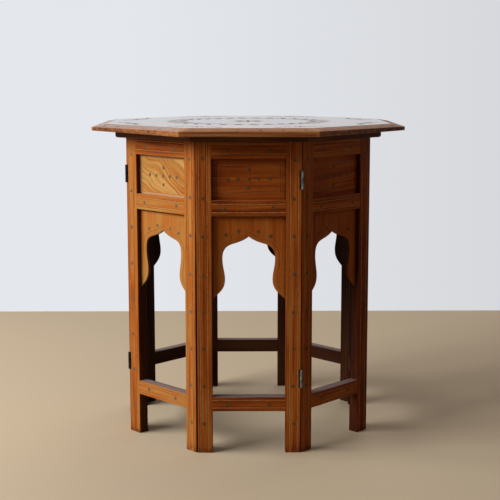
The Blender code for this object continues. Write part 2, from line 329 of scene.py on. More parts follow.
def light_world():
    """A dim world for the light on the table, and a pale one that falls off to the right for the eye."""
    world = bpy.data.worlds.new("studio")
    world.use_nodes = True
    sky = Recipe(world.node_tree)
    fill = sky.tree.nodes["Background"]
    sky.join(FILL_LIGHT, fill.inputs["Color"])
    sideways = sky.part(sky.read("ShaderNodeTexCoord", "Generated"), "X")
    across = sky.node("ShaderNodeMapRange", {}, {"Value": sideways, "From Min": -0.1, "From Max": 0.25})
    shade = sky.mixed(across, BACKDROP_LEFT, BACKDROP_RIGHT)
    pale = sky.node("ShaderNodeBackground", {}, {"Color": shade})
    seen = sky.read("ShaderNodeLightPath", "Is Camera Ray")
    for kind in ("Is Glossy Ray", "Is Transmission Ray"):
        seen = seen.larger(sky.read("ShaderNodeLightPath", kind))
    sky.show("World Output", seen, Wire(sky, fill.outputs[0]), pale)
    bpy.context.scene.world = world


def make_floor():
    """A plain floor that ends where the backdrop begins."""
    mesh = bpy.data.meshes.new("floor")
    corners = [
        (-FLOOR_REACH, -FLOOR_REACH, 0.0),
        (FLOOR_REACH, -FLOOR_REACH, 0.0),
        (FLOOR_REACH, BACKDROP_DISTANCE, 0.0),
        (-FLOOR_REACH, BACKDROP_DISTANCE, 0.0),
    ]
    mesh.from_pydata(corners, [], [(0, 1, 2, 3)])
    paint = Finish("pale_floor", Roughness=0.75)
    seen = paint.read("ShaderNodeLightPath", "Is Camera Ray")
    paint.feed("Base Color", paint.mixed(seen, FLOOR_BOUNCE, FLOOR_SEEN))
    from_below = paint.read("ShaderNodeNewGeometry", "Backfacing")
    clear = paint.read("ShaderNodeBsdfTransparent", "BSDF")
    paint.show("Material Output", from_below, Wire(paint, paint.shader.outputs[0]), clear)
    mesh.materials.append(paint.material)
    floor = bpy.data.objects.new("floor", mesh)
    bpy.context.scene.collection.objects.link(floor)


light_world()
make_floor()
print("the backdrop begins", BACKDROP_DISTANCE, "m behind the middle of the table")

# %% [markdown]
# ## Figure of the wood
#
# The wood is an oily, orange-brown hardwood with golden streaks and dark pores. A picture of wood could be
# wrapped round each piece, but its grain would break at every edge. A real plank is a slice of a tree, and
# its figure comes from rings around the tree's heart, right through the wood. So each piece stores where its
# points lie in its own plank, with the third number along the grain, and the finish works out the rings,
# streaks, fibres and pores there.

# %% Colours and figure of the wood
RUSSET = (0.13, 0.021, 0.005)
CHESTNUT = (0.30, 0.055, 0.008)
AMBER = (0.46, 0.112, 0.014)
GOLDEN = (0.48, 0.225, 0.053)
HONEY = (0.60, 0.31, 0.090)
RED_STOPS = [(0.0, RUSSET), (0.30, CHESTNUT), (0.58, AMBER), (1.0, GOLDEN)]
PALE_STOPS = [(0.0, RUSSET), (0.30, CHESTNUT), (0.58, AMBER), (0.85, GOLDEN), (1.0, HONEY)]


def plank_figure(finish, stray):
    """The wires of a plank's streaks, patches, fibres, pores and rings, by name.

    Stray is how far the grain wanders sideways, in metres.
    """
    grain = finish.stored("grain_at", "Vector")
    if stray:
        wander = finish.noise(grain, scale=17.0, detail=1.0) - 0.5
        aside = finish.node("ShaderNodeCombineXYZ", {}, {"X": wander * stray})
        grain = finish.node("ShaderNodeVectorMath", {"operation": "ADD"}, {0: grain, 1: aside})
    ring_settings = {"wave_type": "RINGS", "rings_direction": "Z", "wave_profile": "SAW"}
    ring_sockets = {
        "Vector": finish.drawn(grain, along=0.10),
        "Scale": 42.0,
        "Distortion": 5.0,
        "Detail": 3.0,
        "Detail Scale": 1.4,
    }
    return {
        "streak": finish.noise(finish.drawn(grain, along=0.045), scale=230.0, detail=5.0),
        "patch": finish.noise(finish.drawn(grain, along=0.30), scale=24.0, detail=2.0),
        "fibre": finish.noise(finish.drawn(grain, along=0.02), scale=1500.0, detail=3.0),
        "pore": finish.noise(finish.drawn(grain, along=0.05), scale=2100.0, detail=2.0).rise(0.60, 0.72),
        "rings": finish.node("ShaderNodeTexWave", ring_settings, ring_sockets, "Fac"),
    }


print("wood colours from dark to pale:", len(PALE_STOPS))

# %% [markdown]
# ## Wear, dirt and painted light
#
# Hands rub the edges pale, and on beads and arrises that paleness is also a painted highlight. Dirt stays in
# lines and corners, and near the panels' edges and on faces deep in the frame the darkening is also painted
# shade. A pale film on what faces up is partly dust and partly a painted reflection. All this could be
# painted on by hand, but then every change of shape would spoil it. So each point stores one number, `rub`:
# from 0 to 1 an edge is worn pale, above 1 it is painted pale as a sheen, and below 0 it turns dark, as dirt
# in a line and in places as painted shade. The finish breaks that up with noise, and it finds the feet and
# the faces under the film by their height and slope.

# %% Wear, dirt and painted light
# Pale colour of wear on edges, also used as a painted highlight on beads and arrises.
WORN_AND_HIGHLIGHT = (0.57, 0.22, 0.060)
# Pale colour laid on as a painted sheen of light on the figured panels' margins.
PAINTED_SHEEN = (0.51, 0.285, 0.15)
# Dark colour of dirt, also laid on as painted shade near edges and on faces deep in the frame.
GRIME_AND_SHADE = (0.026, 0.008, 0.004)
# Pale grey film on level faces: partly dust, partly a painted reflection of the pale room.
DUST_AND_REFLECTION = (0.215, 0.212, 0.224)
DIRT_AND_SHADE_WIDTH = 0.0045
FOOT_DIRT = (0.001, 0.016)
FILM_HEIGHTS = (0.15, 0.45)
LEVEL_SLOPE = (0.75, 0.95)


def wood_wear(finish, edge_dirt_and_shade, dust):
    """The wires of a plank's wear, painted sheen, dirt and painted shade, and pale film, by name.

    Edge dirt and shade lists (axis, reach) of the edges along which the wood turns darker: partly dirt,
    partly painted shade.
    """
    spot = finish.read("ShaderNodeTexCoord", "Object")
    height = finish.part(spot, "Z")
    slope = finish.part(finish.read("ShaderNodeNewGeometry", "Normal"), "Z")
    rub = finish.stored("rub")
    broken = finish.noise(spot, scale=160.0, detail=3.0).rise(0.35, 0.62)
    dirt = (0.0 - rub).rise(0.0, 1.0)
    # Along these edges the wood turns darker: partly dirt, partly painted shade where the frame shades the
    # panel.
    for axis, reach in edge_dirt_and_shade:
        near_edge = abs(finish.part(spot, axis)).rise(reach - DIRT_AND_SHADE_WIDTH, reach)
        dirt = dirt.larger(near_edge * broken.between(0.4, 0.75))
    foot = 1.0 - height.rise(*FOOT_DIRT)
    low_down = 1.0 - height.rise(*FILM_HEIGHTS)
    return {
        "worn": rub.rise(0.0, 1.0) * broken.between(0.45, 1.0),
        # Above a rub of 1 the wood is painted pale: a painted sheen.
        "sheen": rub.rise(1.0, 2.0),
        "dirt": dirt.larger(foot * broken * 0.7),
        # The pale film: partly dust, partly a painted reflection on faces that point up.
        "film": slope.rise(*LEVEL_SLOPE) * dust * broken.between(0.5, 1.0) * low_down,
    }


print("dust thins out between heights", FILM_HEIGHTS)

# %% [markdown]
# ## Waxed wood
#
# The last step lays these over each other, from the bare wood up to the grime, as they came on over the
# years; painted shade is laid in with the grime. A plank's tone picks its place between dark and pale, so one
# finish serves many planks. On the front side and the two beside it the tones also carry painted light: paler
# and more golden on the left, where the window falls, and darker and redder on the front and right, as in
# shade. The wax gives a soft shine, and only the table's face is polished more; bevels that lean to the left
# get a painted sheen of extra coat. Behind the panels the wood was never oiled and looks dull, and it is also
# painted darker there as painted shade.

# %% Wood finishes
# Colour of the hidden wood: partly raw, unoiled wood and partly painted shade.
RAW_AND_SHADED_INSIDE = (0.018, 0.008, 0.006)
WAX = {"Specular_IOR_Level": 0.06}
# Edges along which the panels are darkened: partly dirt, partly painted shade next to the frame.
SIDE_EDGES = [("X", OPENING_HALF)]
ARCH_EDGES = SIDE_EDGES + [("Z", MIDDLE_RAIL_BOTTOM)]
PANEL_INSIDE = (0.0105, 0.0118)
FRAME_INSIDE = (0.0125, 0.015)
PANEL_CARE = {"dust": 0.2, "inside": PANEL_INSIDE, **WAX}


def polish_and_left_sheen(finish, polish):
    """More coat on level faces, and some on faces that lean to the left: a painted sheen towards the window.
    """
    facing = finish.read("ShaderNodeNewGeometry", "Normal")
    slope = finish.part(facing, "Z")
    # Extra coat on bevels that lean to the left: a painted sheen, where the window's light glances off them.
    left_sheen = (0.0 - finish.part(facing, "X")).rise(0.04, 0.14) * slope.rise(*LEVEL_SLOPE)
    return 0.04 + slope.rise(0.984, 0.998).larger(left_sheen * 0.6) * polish


def wood_finish(
    name, stops, streaks, figure, dust, edge_dirt_and_shade=(), inside=None, polish=0.0, stray=0.0, **wax
):
    """Waxed old hardwood, with a ramp of stops from its dark to its pale streaks.

    Streaks, figure and dust say how strongly the streaks, the rings and the pale film show; the
    film is partly dust and partly a painted reflection. Inside is the pair of depths between which the wood
    turns raw and is painted darker as painted shade. Wax holds constants of the shader.
    """
    finish = Finish(name, **wax)
    plank = plank_figure(finish, stray)
    wear = wood_wear(finish, edge_dirt_and_shade, dust)
    shade = finish.stored("tone") + (plank["streak"] - 0.5) * streaks + (plank["patch"] - 0.5) * 0.55
    shade = shade + (plank["fibre"] - 0.5) * 0.35 + (0.5 - plank["rings"]) * figure
    colour = finish.ramp(shade, stops)
    layers = [
        (plank["pore"] * 0.45, RUSSET),
        (wear["worn"] * 0.9, WORN_AND_HIGHLIGHT),
        (wear["sheen"], PAINTED_SHEEN),
        (wear["film"], DUST_AND_REFLECTION),
        (wear["dirt"] * 0.85, GRIME_AND_SHADE),
    ]
    if stray:
        layers.insert(0, (plank["rings"].rise(0.2, 1.0) * 0.24, CHESTNUT))
    # Deeper in the piece the colour turns raw and dark: partly unoiled wood, partly painted shade.
    if inside:
        depth = finish.part(finish.read("ShaderNodeTexCoord", "Object"), "Y")
        layers.append((depth.rise(*inside) * 0.88, RAW_AND_SHADED_INSIDE))
    for share, layer in layers:
        colour = finish.mixed(share, colour, layer)
    finish.feed("Base Color", colour)
    if polish:
        finish.feed("Coat Weight", polish_and_left_sheen(finish, polish))
    rough = 0.36 + plank["streak"] * 0.12 + plank["pore"] * 0.15 + wear["film"] * 0.25
    finish.feed("Roughness", rough + wear["dirt"] * 0.25 - wear["worn"] * 0.06)
    relief = plank["fibre"] * 0.5 + plank["streak"] * 0.5 - plank["pore"] * 0.7
    finish.feed("Normal", finish.bumped(relief, strength=0.35, distance=0.25 * MM))
    return finish


frame_wood = wood_finish(
    "frame_wood", RED_STOPS, streaks=1.5, figure=0.10, dust=0.87, inside=FRAME_INSIDE, **WAX
)
upper_wood = wood_finish(
    "panel_wood", RED_STOPS, streaks=0.9, figure=0.24, edge_dirt_and_shade=SIDE_EDGES, **PANEL_CARE
)
figured_wood = wood_finish(
    "figured_wood", PALE_STOPS, streaks=1.1, figure=0.16, stray=0.05, **PANEL_CARE
)
arch_wood = wood_finish(
    "arch_wood", RED_STOPS, streaks=0.65, figure=0.08, edge_dirt_and_shade=ARCH_EDGES, **PANEL_CARE
)
print("nodes in a wood finish:", len(frame_wood.tree.nodes))

# %% [markdown]
# ## Skins over rings
#
# Nearly every wooden piece here is one outline carried along a line: a stile's section carried up, a rail's
# carried across, a panel's outline carried from back to front. So one helper takes rings of points, joins
# each ring to the next and caps the ends. Points that fall together are welded, so an outline may gain or
# lose a groove on the way.

# %% Skins
WELD = 0.000002


def new_shape():
    """An empty mesh in progress, whose points store how far they are rubbed."""
    shape = bmesh.new()
    shape.verts.layers.float.new("rub")
    return shape


def add_skin(shape, rings):
    """Add a closed skin over rings of (point, rub) pairs, all with the same count."""
    rub_layer = shape.verts.layers.float["rub"]
    rows = []
    for ring in rings:
        row = []
        for point, rub in ring:
            corner = shape.verts.new(point)
            corner[rub_layer] = rub
            row.append(corner)
        rows.append(row)
    count = len(rows[0])
    for lower, upper in zip(rows, rows[1:]):
        for index in range(count):
            after = (index + 1) % count
            shape.faces.new((lower[index], lower[after], upper[after], upper[index]))
    shape.faces.new(list(reversed(rows[0])))
    shape.faces.new(rows[-1])


def skin(rings):
    """A shape of one skin, with points that fall together welded."""
    shape = new_shape()
    add_skin(shape, rings)
    bmesh.ops.remove_doubles(shape, verts=shape.verts, dist=WELD)
    return shape


print("points closer than", WELD, "m are welded")

# %% [markdown]
# ## From shape to piece
#
# A shape becomes a piece when it gets a place, a body to ride on and a finish. The grain is laid last: it
# runs up a stile and across a rail, and no two planks were cut from the same place in the tree.

# %% Pieces and their grain
SHARP_ANGLE = math.radians(26)
ALONG_Z = (0, 1, 2)
ALONG_X = (2, 1, 0)
ALONG_X_FLAT = (1, 2, 0)
TREE_LENGTH = 3.0


def add_piece(name, shape, place, body, finish, stands_for=()):
    """Make an object of a shape, put it in place and let it ride on a body."""
    bmesh.ops.recalc_face_normals(shape, faces=shape.faces)
    mesh = bpy.data.meshes.new(name)
    shape.to_mesh(mesh)
    shape.free()
    mesh.materials.append(finish.material)
    mesh.shade_smooth()
    mesh.set_sharp_from_angle(angle=SHARP_ANGLE)
    piece = bpy.data.objects.new(name, mesh)
    bpy.context.scene.collection.objects.link(piece)
    piece.matrix_world = place
    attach(piece, body)
    if stands_for:
        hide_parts(*stands_for)
    return piece


def add_side_piece(number, name, shape, finish, node=None):
    """A piece of one side. It may stand for one of that side's plain solids."""
    side = f"side_{number}"
    stands_for = [f"{side}_{node}"] if node else []
    return add_piece(f"{side}_{name}", shape, side_place(number), side, finish, stands_for)


def lay_grain(piece, order, heart, tone, lean=0.0):
    """Store where each point lies in its plank: two distances from the heart and one along it.

    Lean turns the grain in the board's face, where the plank was cut askew.
    """
    turn = Matrix.Rotation(lean, 3, "Y")
    mesh = piece.data
    mesh.attributes.new("grain_at", "FLOAT_VECTOR", "POINT")
    mesh.attributes.new("tone", "FLOAT", "POINT")
    spots = mesh.attributes["grain_at"].data
    tones = mesh.attributes["tone"].data
    for corner, spot, shade in zip(mesh.vertices, spots, tones):
        turned = turn @ corner.co
        spot.vector = [turned[axis] - start for axis, start in zip(order, heart)]
        shade.value = tone


def start_along():
    """A random place along the tree."""
    return dice.uniform(-TREE_LENGTH, TREE_LENGTH)


def heart_beside(distance, depth):
    """A random place of the tree's heart, to one side of a piece and at a depth in it."""
    return (dice.choice((-1, 1)) * distance * dice.uniform(0.8, 1.3), depth, start_along())


print("edges sharper than", round(math.degrees(SHARP_ANGLE)), "degrees stay crisp")

# %% [markdown]
# ## Scribed lines
#
# A scratch stock has drawn two fine lines along every stile and rail, which leave a narrow bead between them.
# The bead catches the light, and its crest is also painted pale, partly wear and partly a painted highlight.
# The lines hold dirt. A bump in the finish could fake them, but both are cut into the section itself, so they
# stay real when seen from close by.

# %% Scribed lines
LINE_WIDTH = 0.75 * MM
LINE_DEPTH = 0.45 * MM
LINE_SPACING = 2.2 * MM
BEAD_ROUND = 0.1 * MM


def scribed_pair(middle):
    """Section points of two lines and the bead between them: (distance along the face, depth, rub)."""
    left = middle - LINE_SPACING / 2
    right = middle + LINE_SPACING / 2
    # The bead's crest is painted pale, partly wear and partly a painted highlight; the lines hold dirt.
    return [
        (left - LINE_WIDTH / 2, 0.0, 0.0),
        (left, LINE_DEPTH, -0.9),
        (left + LINE_WIDTH / 2, BEAD_ROUND, 0.75),
        (middle, 0.0, 1.0),
        (right - LINE_WIDTH / 2, BEAD_ROUND, 0.75),
        (right, LINE_DEPTH, -0.9),
        (right + LINE_WIDTH / 2, 0.0, 0.0),
    ]


print("points in a pair of scribed lines:", len(scribed_pair(0.0)))

# %% [markdown]
# ## Section of a stile
#
# A stile is the upright post of a side. Its outer edge is mitred to meet the next side at the corner, and two
# hinge leaves are let into that edge, at the front where the hinge is outside and at the back where it is
# inside. Its inner edge has a groove for the panels and a small chamfer. A modelled block with cuts would do
# too, but a section whose points slide in and out keeps every edge clean.

# %% Section of a stile
SEAT_SETBACK = 2.1 * MM
SEAT_DEPTH = 12.3 * MM
SEAT_NOTCH = 1.6 * MM
AXIS_PROUD = 0.0004
SHUT_GAP = 0.25 * MM
EASE = 0.7 * MM
BACK_EASE = EASE * 0.4
INNER_EASE = EASE * 0.6
CORNER_EASE = 1.35 * MM
INNER_LINES = 6.2 * MM
OUTER_LINES = 5.0 * MM
JOINT_DIRT = -0.8


def mitre_x(setback, y):
    """Where a line parallel to the right mitre, set back from the middle of the joint, is at depth y."""
    return HALF_WIDTH - y * math.tan(HALF_TURN) - setback / math.cos(HALF_TURN)


def outside_edge(gap, seat, dirt):
    """Outer edge of a stile with its hinges at the front, as (x, y, rub) from front to back."""
    ease = CORNER_EASE + (SEAT_NOTCH - CORNER_EASE) * seat
    line = gap + (SEAT_SETBACK - gap) * seat
    step = SEAT_DEPTH * math.cos(HALF_TURN) - AXIS_PROUD
    front = mitre_x(line, 0.0)
    back = mitre_x(gap, SIDE_THICKNESS)
    return [
        (front - ease, 0.0, 0.2 - 0.4 * seat),
        (front - ease * (0.4 + 0.55 * seat), ease * (0.3 + 0.65 * seat), min(dirt, -seat)),
        (mitre_x(line, ease), ease, JOINT_DIRT),
        (mitre_x(line, step), step, JOINT_DIRT),
        (mitre_x(gap, step), step, JOINT_DIRT),
        (back, SIDE_THICKNESS - BACK_EASE, 0.0),
        (back - BACK_EASE, SIDE_THICKNESS, 0.0),
    ]


def inside_edge(gap, seat, dirt):
    """Outer edge of a stile with its hinges at the back, as (x, y, rub) from front to back."""
    line = gap + (SEAT_SETBACK - gap) * seat
    step = SIDE_THICKNESS + AXIS_PROUD - SEAT_DEPTH * math.cos(HALF_TURN)
    low = SIDE_THICKNESS - BACK_EASE
    front = mitre_x(gap, 0.0)
    return [
        (front - CORNER_EASE, 0.0, 0.2),
        (front - CORNER_EASE * 0.4, CORNER_EASE * 0.3, dirt),
        (mitre_x(gap, CORNER_EASE), CORNER_EASE, JOINT_DIRT),
        (mitre_x(gap, step), step, JOINT_DIRT),
        (mitre_x(line, step), step, JOINT_DIRT),
        (mitre_x(line, low), low, JOINT_DIRT),
        (mitre_x(line, SIDE_THICKNESS) - BACK_EASE, SIDE_THICKNESS, 0.0),
    ]


def stile_section(outside, chamfer, groove, seat, gape):
    """Section of a right stile, as (x, y, rub), from the inner edge round the front to the back.

    Groove, seat and gape run from 0 to 1: how far the groove and the hinge seat are cut in, and how far the
    joint to the next side stands open.
    """
    inner = OPENING_HALF
    gap = SHUT_GAP + (CORNER_GAP / 2 - SHUT_GAP) * gape
    outer_lines = mitre_x(gap, 0.0) - OUTER_LINES
    # The inner chamfer's lower edge is painted dark, partly dirt and partly painted shade.
    points = [(inner, chamfer, -0.7), (inner + chamfer, 0.0, 0.2), (inner + chamfer + EASE, 0.0, 0.0)]
    for start, middle in ((inner, INNER_LINES), (outer_lines, 0.0)):
        points += [(start + place, depth, rub) for place, depth, rub in scribed_pair(middle)]
    outer_edge = outside_edge if outside else inside_edge
    points += outer_edge(gap, seat, dirt=-0.3 - 0.6 * gape)
    floor = inner + GROOVE_DEPTH * groove
    points += [
        # The inner edge face and the groove's lip are painted dark: partly dirt, partly painted shade on
        # faces the light hardly reaches.
        (inner + INNER_EASE, SIDE_THICKNESS, 0.0),
        (inner, SIDE_THICKNESS - INNER_EASE, -0.7),
        (inner, GROOVE_BACK, -0.9),
        (floor, GROOVE_BACK, JOINT_DIRT),
        (floor, GROOVE_FRONT, JOINT_DIRT),
        (inner, GROOVE_FRONT, -1.0),
    ]
    return points


print("points round a stile:", len(stile_section(True, EASE, 1.0, 1.0, 0.0)))

# %% [markdown]
# ## Stiles
#
# The section changes with height: the chamfer stops short of each rail, the groove runs only where a panel
# is, and the seats are as long as the hinges. So a stile is a skin over rings at every height where something
# starts or stops. At the corners with inside hinges the joint stands open lower down. The outer stile of the
# right front side is a darker plank than the others.

# %% Stiles
HINGE_LENGTH = 0.0268
HINGE_HEIGHTS = (0.1125, BASE_HEIGHT - 0.0546)
SEAT_HALF = HINGE_LENGTH / 2 + CLEARANCE
CHAMFER = 0.5 * MM
TIGHT_CHAMFER = 0.12 * MM
CHAMFER_RAMP = 3 * MM
STEP = 0.04 * MM
GAPE_TOP = 0.35
GAPE_REACH = 0.08
OUTSIDE_GAPE = 0.15
END_ROUNDING = (0.05, 0.07)
# Stile tones of the front side and its two neighbours also carry painted light: paler on the left, where the
# window falls, darker on the front and right, as in shade.
SIDE_TONES = {1: 0.50, 2: 0.56, 8: 0.47}
USUAL_TONE = 0.54
ODD_STILES = {(8, "right"): 0.16}

CHAMFER_RANGES = [
    (-0.01, FOOT_HEIGHT),
    (BOTTOM_RAIL_TOP, MIDDLE_RAIL_BOTTOM),
    (MIDDLE_RAIL_TOP, UPPER_OPENING_TOP),
]
GROOVE_RANGES = [
    (ARCH_TIP - CLEARANCE, MIDDLE_RAIL_BOTTOM + GROOVE_DEPTH),
    (MIDDLE_RAIL_TOP - GROOVE_DEPTH, UPPER_OPENING_TOP + GROOVE_DEPTH),
]
SEAT_RANGES = [(height - SEAT_HALF, height + SEAT_HALF) for height in HINGE_HEIGHTS]


def inside_ranges(height, ranges, ramp):
    """1 inside any of the ranges and 0 outside, with a ramp at both ends, inside the range."""
    most = 0.0
    for low, high in ranges:
        share = min((height - low) / ramp, (high - height) / ramp)
        most = max(most, min(1.0, max(0.0, share)))
    return most


def stile_heights():
    heights = {0.0, EASE, GAPE_TOP - GAPE_REACH, GAPE_TOP, BASE_HEIGHT - EASE, BASE_HEIGHT}
    for ranges, ramp in ((CHAMFER_RANGES, CHAMFER_RAMP), (GROOVE_RANGES, STEP), (SEAT_RANGES, STEP)):
        for low, high in ranges:
            heights.update((low, low + ramp, high - ramp, high))
    return sorted(height for height in heights if 0.0 <= height <= BASE_HEIGHT)


def stile_shape(end, outside):
    """One stile in its side's frame: end is -1 for the left stile and +1 for the right one."""
    rings = []
    for height in stile_heights():
        chamfer_share = inside_ranges(height, CHAMFER_RANGES, CHAMFER_RAMP)
        chamfer = TIGHT_CHAMFER + (CHAMFER - TIGHT_CHAMFER) * chamfer_share
        groove = inside_ranges(height, GROOVE_RANGES, STEP)
        seat = inside_ranges(height, SEAT_RANGES, STEP)
        gape = OUTSIDE_GAPE if outside else min(1.0, max(0.0, (GAPE_TOP - height) / GAPE_REACH))
        ring = []
        for x, y, rub in stile_section(outside, chamfer, groove, seat, gape):
            if height in (0.0, BASE_HEIGHT):
                x += (HALF_WIDTH - STILE_WIDTH / 2 - x) * END_ROUNDING[0]
                y += (SIDE_THICKNESS / 2 - y) * END_ROUNDING[1]
            ring.append(((end * x, y, height), rub))
        rings.append(ring)
    return skin(rings)


for number in SIDES:
    left_outside = number % 2 == 0
    for name, end, outside in (("left", -1, left_outside), ("right", 1, not left_outside)):
        shape = stile_shape(end, outside)
        stile = add_side_piece(number, f"{name}_stile", shape, frame_wood, "frame")
        tone = SIDE_TONES.get(number, USUAL_TONE) + dice.uniform(-0.04, 0.04)
        tone = ODD_STILES.get((number, name), tone)
        lay_grain(stile, ALONG_Z, heart_beside(distance=0.09, depth=0.05), tone)
print("stile corners:", len(stile.data.vertices))

# %% [markdown]
# ## Rails
#
# Three rails cross each side between its stiles. Their sections are simpler: a flat face with two pairs of
# scribed lines, a chamfer towards each opening and a groove where a panel goes in. The section stays the same
# from end to end, so two rings are enough. The top face of the bottom rail takes the pale film, partly dust
# and partly a painted reflection.

# %% Rails
JOINT_LINE = 0.06 * MM
RAILS = {
    "top": (UPPER_OPENING_TOP, BASE_HEIGHT, (7.0 * MM, 21.0 * MM), (True, False)),
    "middle": (MIDDLE_RAIL_BOTTOM, MIDDLE_RAIL_TOP, (5.4 * MM, 17.6 * MM), (True, True)),
    "bottom": (FOOT_HEIGHT, BOTTOM_RAIL_TOP, (5.0 * MM, 16.6 * MM), (False, False)),
}
# Rail tones, top to bottom. Beside plank colour they carry painted light: the left side's are paler where the
# window falls, with its top rail kept darker as painted shadow of the top; the front and right ones are
# darker and redder, as in shade.
RAIL_TONES = {1: (0.35, 0.23, 0.18), 2: (0.34, 0.73, 0.64), 8: (0.44, 0.46, 0.44)}
USUAL_RAIL_TONES = (0.5, 0.52, 0.54)


def panel_groove(edge, inward, rub):
    """Four section points (y, z, rub) of a groove in a rail's edge, with the wear of its front lip."""
    floor = edge + inward * GROOVE_DEPTH
    return [
        (GROOVE_FRONT, edge, rub),
        (GROOVE_FRONT, floor, JOINT_DIRT),
        (GROOVE_BACK, floor, 0.0),
        (GROOVE_BACK, edge, 0.0),
    ]


def rail_shape(low, high, lines, grooves):
    """One rail in its side's frame, with lines at heights above low, and a groove below or above."""
    groove_below, groove_above = grooves
    top_chamfer = CHAMFER if high < BASE_HEIGHT else EASE
    section = [(CHAMFER, low, -0.2), (0.0, low + CHAMFER, 0.5), (0.0, low + CHAMFER + EASE / 2, 0.0)]
    for middle in lines:
        section += [(depth, low + place, rub) for place, depth, rub in scribed_pair(middle)]
    section += [(0.0, high - top_chamfer - EASE / 2, 0.0), (0.0, high - top_chamfer, 0.2)]
    section.append((top_chamfer, high, 0.5 if groove_above else 0.0))
    if groove_above:
        section += panel_groove(high, -1, 0.3)
    section += [(SIDE_THICKNESS - EASE, high, 0.0), (SIDE_THICKNESS, high - EASE, 0.0)]
    section += [(SIDE_THICKNESS, low + EASE, 0.0), (SIDE_THICKNESS - EASE, low, 0.0)]
    if groove_below:
        section += reversed(panel_groove(low, 1, JOINT_DIRT))
    half = OPENING_HALF - JOINT_LINE
    return skin([[((x, y, z), rub) for y, z, rub in section] for x in (-half, half)])


for number in SIDES:
    tones = RAIL_TONES.get(number, USUAL_RAIL_TONES)
    for tone, (name, sizes) in zip(tones, RAILS.items()):
        rail = add_side_piece(number, f"{name}_rail", rail_shape(*sizes), frame_wood, "frame")
        heart = heart_beside(distance=0.07, depth=0.05)
        lay_grain(rail, ALONG_X, heart, tone + dice.uniform(-0.03, 0.03))
print("rail corners:", len(rail.data.vertices))

# %% [markdown]
# ## Upper panels
#
# The upper panel is fielded: a flat field with a small step round it and a sloping margin that runs into the
# groove of the frame. It is a skin over rectangles, from its back to its field. Each panel was cut from
# another part of the tree. Two of them are pale boards with a lively figure, cut askew, and their narrow
# margin is painted pale, a painted sheen of light on the margin. The others are plain and reddish; on the
# front and right sides their tone is set darker and redder, partly as painted shade.

# %% Upper panels
PANEL_LOW = MIDDLE_RAIL_TOP - GROOVE_DEPTH + CLEARANCE
PANEL_HIGH = UPPER_OPENING_TOP + GROOVE_DEPTH - CLEARANCE
FIELD_MARGIN = GROOVE_DEPTH + 8.6 * MM
NARROW_MARGIN = GROOVE_DEPTH + 3.4 * MM
MARGIN_SHEEN_RUB = 1.7
FIGURED_SIDES = (2, 5)
# Panel tones. On the front side and its two neighbours they also carry painted light: the left panel pale and
# golden where the window falls, the front and right ones darker and redder, as in shade.
PANEL_TONES = {1: 0.40, 2: 0.84, 8: 0.41}
PANEL_LEANS = {2: math.radians(-27)}
PANEL_HEART = (0.42, -0.018)


def upper_panel_shape(margin, wear):
    """A panel with the given margin round its field. Wear is the margin's rub; above 1 it is painted pale, a
    painted sheen.
    """
    steps = [
        (0.0, PANEL_BACK, 0.0),
        (0.0, PANEL_FACE + 0.7 * MM, wear),
        (margin - 0.7 * MM, PANEL_FACE + 0.45 * MM, wear),
        (margin, PANEL_FACE + 0.4 * MM, -0.4),
        (margin + 0.4 * MM, PANEL_FACE + 0.05 * MM, 0.9),
        (margin + 0.8 * MM, PANEL_FACE, 0.8),
        (margin + 1.4 * MM, PANEL_FACE, 0.0),
    ]
    rings = []
    for inset, y, rub in steps:
        half = PANEL_HALF - inset
        low = PANEL_LOW + inset
        high = PANEL_HIGH - inset
        corners = [(-half, y, low), (half, y, low), (half, y, high), (-half, y, high)]
        rings.append([(corner, rub) for corner in corners])
    return skin(rings)


for number in SIDES:
    wood = upper_wood
    shape = upper_panel_shape(FIELD_MARGIN, 0.0)
    if number in FIGURED_SIDES:
        wood = figured_wood
        # The figured panels' narrow margin is painted pale, a painted sheen of light on it.
        shape = upper_panel_shape(NARROW_MARGIN, MARGIN_SHEEN_RUB)
    panel = add_side_piece(number, "fielded_panel", shape, wood, "upper_panel")
    tone = PANEL_TONES.get(number, dice.uniform(0.4, 0.75))
    lean = PANEL_LEANS.get(number, dice.uniform(-0.06, 0.06))
    lay_grain(panel, ALONG_X, (*PANEL_HEART, start_along()), tone, lean)
print("fielded panel from", round(PANEL_LOW, 4), "to", round(PANEL_HIGH, 4))

# %% [markdown]
# ## Line of the arch
#
# Below the middle rail hangs a panel cut to an ogee arch: a pointed crown, round shoulders, a narrow neck and
# a curved tip that dies into the stile. A few Bezier curves draw that with less effort than many points, so
# each half is four of them. The saw followed a drawn line by hand, so every shoulder is a little fuller or
# flatter than the next.

# %% Line of the arch
CURVE_STEPS = 10
CROWN = (0.0, 0.0305)
SHOULDER = (0.022, 0.0407)
BELLY = (0.0382, 0.063)
NECK = (0.0345, 0.094)


def bezier(corners):
    """Points of a cubic curve, without its first one."""
    points = []
    for step in range(1, CURVE_STEPS + 1):
        t = step / CURVE_STEPS
        s = 1 - t
        weights = (s ** 3, 3 * s * s * t, 3 * s * t * t, t ** 3)
        points.append(sum((w * Vector(c) for w, c in zip(weights, corners)), Vector((0.0, 0.0))))
    return points


